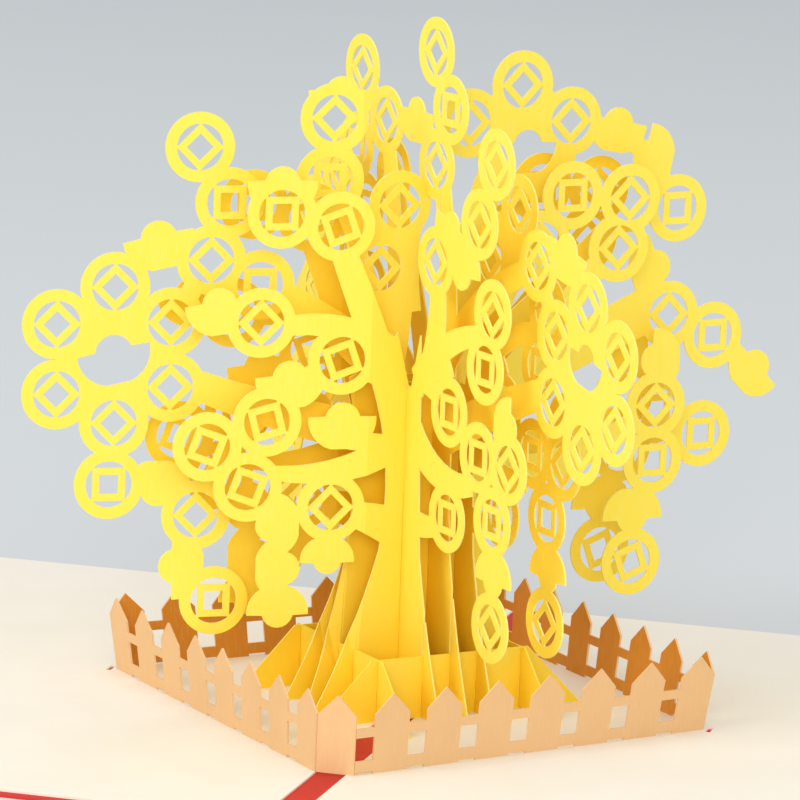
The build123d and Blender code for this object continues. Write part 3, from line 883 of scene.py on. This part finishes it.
class POPUP_OT_pages(bpy.types.Operator):
    """Give the cover its paper, and the two pages, which reach the card's far edge"""

    bl_idname = "popup.pages"
    bl_label = "Cover and pages"

    def execute(self, context):
        dress_node("cover", "cover_card_face")
        for name in ("left_page", "right_page"):
            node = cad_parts[name]
            bm = bmesh.new()
            bm.from_mesh(node.data)
            bmesh.ops.transform(bm, matrix=node.matrix_world, verts=bm.verts)
            bmesh.ops.remove_doubles(bm, verts=bm.verts, dist=WELD)
            far = max(vert.co.y for vert in bm.verts)
            edge = [vert for vert in bm.verts if vert.co.y > far - NEAR]
            bmesh.ops.translate(bm, verts=edge, vec=(0, CAD_BOX[1][1] - far, 0))
            for face in bm.faces:
                face.material_index = 0
            finished_piece(bm, name + "_sheet", ["page_card_face"], [name])
        return {"FINISHED"}


class POPUP_OT_low_slices(bpy.types.Operator):
    """Give the low slices at the foot of the tree their card"""

    bl_idname = "popup.low_slices"
    bl_label = "Low slices"

    def execute(self, context):
        for name in ("low_slice_a1", "low_slice_a2", "low_slice_b1", "low_slice_b2"):
            dress_node(name, "tree_card_face")
        return {"FINISHED"}


class POPUP_OT_fence(bpy.types.Operator):
    """Cut and fold the picket fence"""

    bl_idname = "popup.fence"
    bl_label = "Picket fence"

    def execute(self, context):
        size = sizes()
        half = size.fence_diagonal / 2
        length = half * math.sqrt(2)
        pitch = length / (PICKETS - 1 + PICKET_SHARE)
        picket = pitch * PICKET_SHARE
        fold_start = size.fence_stock / math.sqrt(8) + SEAM * MM
        fold_end = fold_start + picket
        turned = math.hypot(half - fold_end, half)
        turned_pitch = turned / (PICKETS - 1)
        turned_gap = turned_pitch * (1 - PICKET_SHARE)
        wall = fence_wall_mesh(PICKETS, picket, pitch - picket, 0)
        crossing = fence_wall_mesh(1, picket, 0, 0)
        turned_wall = fence_wall_mesh(PICKETS - 1, turned_pitch - turned_gap, turned_gap, turned_gap)
        lean_turn = math.degrees(math.atan2(half, half - fold_end))
        trim = size.fence_stock / 2 + SEAM * MM
        plan = {
            "left": [(wall, (0, -half), 135, 0), (wall, (-half, 0), 45, 0)],
            "right": [
                (crossing, (fold_start, -half), 0, 0), (turned_wall, (fold_end, -half), lean_turn, 0),
                (wall, (0, half), -45, trim)],
        }
        for side, walls in plan.items():
            bm = bmesh.new()
            for mesh, (x, y), turn, cut in walls:
                part = bmesh.new()
                part.from_mesh(mesh)
                if cut:
                    trim_end(part, cut, -1)
                heading = math.radians(turn)
                along = Vector((math.cos(heading), math.sin(heading), 0))
                outward = Vector((x, y, 0)) + along * length / 2
                across = Vector((-along.y, along.x, 0))
                mark_fence_faces(part, 1 if outward.dot(across) > 0 else -1)
                place = Matrix.Translation((x, y, 0)) @ Matrix.Rotation(heading, 4, "Z")
                bmesh.ops.transform(part, matrix=place, verts=part.verts)
                joined = mesh_from(part, "wall_part")
                bm.from_mesh(joined)
                bpy.data.meshes.remove(joined)
            for vert in bm.verts:
                vert.co.x *= 1 + size.fence_lean * vert.co.z / (PICKET_TIP * MM)
            bmesh.ops.translate(bm, verts=bm.verts, vec=(0, FENCE_SHIFT, PAGE_TOP))
            materials = ["fence_card_outside", "fence_card_inside_painted_shade", "fence_card_cut"]
            finished_piece(bm, side + "_fence_card", materials, [side + "_fence"])
        return {"FINISHED"}


class POPUP_OT_tree(bpy.types.Operator):
    """Cut the six tall slices and slot them together"""

    bl_idname = "popup.tree"
    bl_label = "Tree slices"

    def execute(self, context):
        for family in "ab":
            for number, kind in ((1, "side_"), (2, "centre_"), (3, "back_")):
                offset = (number - 2) * SLICE_SPACING
                bm = bmesh.new()
                bm.from_mesh(slice_mesh(kind + family))
                bmesh.ops.remove_doubles(bm, verts=bm.verts, dist=WELD)
                drop_slivers(bm)
                if family == "a":
                    bend_back(bm)
                bm.normal_update()
                thin = Vector((0, 1, 0))
                curled = Vector((math.sin(sizes().curl), math.cos(sizes().curl), 0))
                for face in bm.faces:
                    facing = max(abs(face.normal.dot(thin)), abs(face.normal.dot(curled)))
                    face.material_index = 0 if facing > 0.9 else 1
                bmesh.ops.transform(bm, matrix=family_place(family, offset), verts=bm.verts)
                name = "tree_slice_" + family + str(number)
                finished_piece(bm, name + "_card", ["tree_card_face", "tree_card_cut"], [name])
        return {"FINISHED"}


class POPUP_OT_studio(bpy.types.Operator):
    """Set up the floor, the lights and the camera"""

    bl_idname = "popup.studio"
    bl_label = "Studio"

    def execute(self, context):
        scene = context.scene
        scene.view_settings.view_transform = "Standard"
        floor()
        daylight(scene)
        for name, (place, size, power) in LAMPS.items():
            lamp(name, place, size, power)
        camera(scene)
        return {"FINISHED"}


def floor():
    """A plain floor so wide that it fills the picture behind the card from every side."""
    bm = bmesh.new()
    bmesh.ops.create_circle(bm, cap_ends=True, segments=FLOOR_SIDES, radius=FLOOR_REACH)
    mesh = mesh_from(bm, "backdrop")
    backdrop = bpy.data.objects.new("backdrop", mesh)
    bpy.context.scene.collection.objects.link(backdrop)
    finish = Finish("backdrop_paper")
    where = finish.place()
    tone = colours().backdrop
    cloud = finish.ranged(finish.noise(where, CLOUD_SCALE, 2), 0.3, 0.7, 0, 1)
    coloured = finish.mixed(cloud, dimmed(tone, 0.985), tone)
    grain = finish.noise(where, FLOOR_GRAIN_SCALE, 2)
    relief = finish.bump(grain, FLOOR_RELIEF, 0.2)
    mesh.materials.append(finish.paper(coloured, 0.9 + 0.05 * (grain - 0.5), relief))


def daylight(scene):
    world = bpy.data.worlds.new("studio_air")
    world.use_nodes = True
    scene.world = world
    background = world.node_tree.nodes["Background"]
    background.inputs["Color"].default_value = (*SKY_COLOUR, 1)
    background.inputs["Strength"].default_value = SKY_STRENGTH


def lamp(name, place, size, power):
    data = bpy.data.lights.new(name, "AREA")
    data.shape = "DISK"
    data.size = size
    data.energy = power
    data.color = LAMP_COLOUR
    obj = bpy.data.objects.new(name, data)
    obj.location = place
    aim = Vector(LAMP_TARGET) - Vector(place)
    obj.rotation_euler = aim.to_track_quat("-Z", "Y").to_euler()
    bpy.context.scene.collection.objects.link(obj)


def camera(scene):
    yaw, pitch, roll = (math.radians(angle) for angle in (CAMERA_YAW, CAMERA_PITCH, CAMERA_ROLL))
    ahead = Vector((-math.sin(yaw) * math.cos(pitch), math.cos(yaw) * math.cos(pitch), -math.sin(pitch)))
    level = ahead.cross(Vector((0, 0, 1))).normalized()
    above = level.cross(ahead)
    right = level * math.cos(roll) + above * math.sin(roll)
    up = above * math.cos(roll) - level * math.sin(roll)
    data = bpy.data.cameras.new("view")
    data.lens = CAMERA_LENS
    data.sensor_width = CAMERA_SENSOR
    data.clip_end = 4 * FLOOR_REACH
    eye = bpy.data.objects.new("view", data)
    turn = Matrix((right, up, -ahead)).transposed().to_4x4()
    eye.matrix_world = Matrix.Translation(CAMERA_PLACE) @ turn
    scene.collection.objects.link(eye)
    scene.camera = eye


class POPUP_PT_panel(bpy.types.Panel):
    """Lists the steps that dress the card"""

    bl_label = "Pop up card"
    bl_space_type = "VIEW_3D"
    bl_region_type = "UI"
    bl_category = "Pop up card"

    def draw(self, context):
        for step in STEPS:
            self.layout.operator(step.bl_idname)
        for group in (sizes(), colours()):
            for name in group.__annotations__:
                self.layout.prop(group, name)


STEPS = (
    POPUP_OT_finishes, POPUP_OT_pages, POPUP_OT_low_slices, POPUP_OT_fence, POPUP_OT_tree, POPUP_OT_studio,
)
CLASSES = (PopupSizes, PopupColours, *STEPS, POPUP_PT_panel)


def register():
    for part in CLASSES:
        bpy.utils.register_class(part)
    bpy.types.Scene.popup_sizes = bpy.props.PointerProperty(type=PopupSizes)
    bpy.types.Scene.popup_colours = bpy.props.PointerProperty(type=PopupColours)


def unregister():
    del bpy.types.Scene.popup_colours
    del bpy.types.Scene.popup_sizes
    for part in reversed(CLASSES):
        bpy.utils.unregister_class(part)


def main():
    register()
    bpy.ops.popup.finishes()
    bpy.ops.popup.pages()
    bpy.ops.popup.low_slices()
    bpy.ops.popup.fence()
    bpy.ops.popup.tree()
    bpy.ops.popup.studio()


if __name__ == "__main__":
    main()
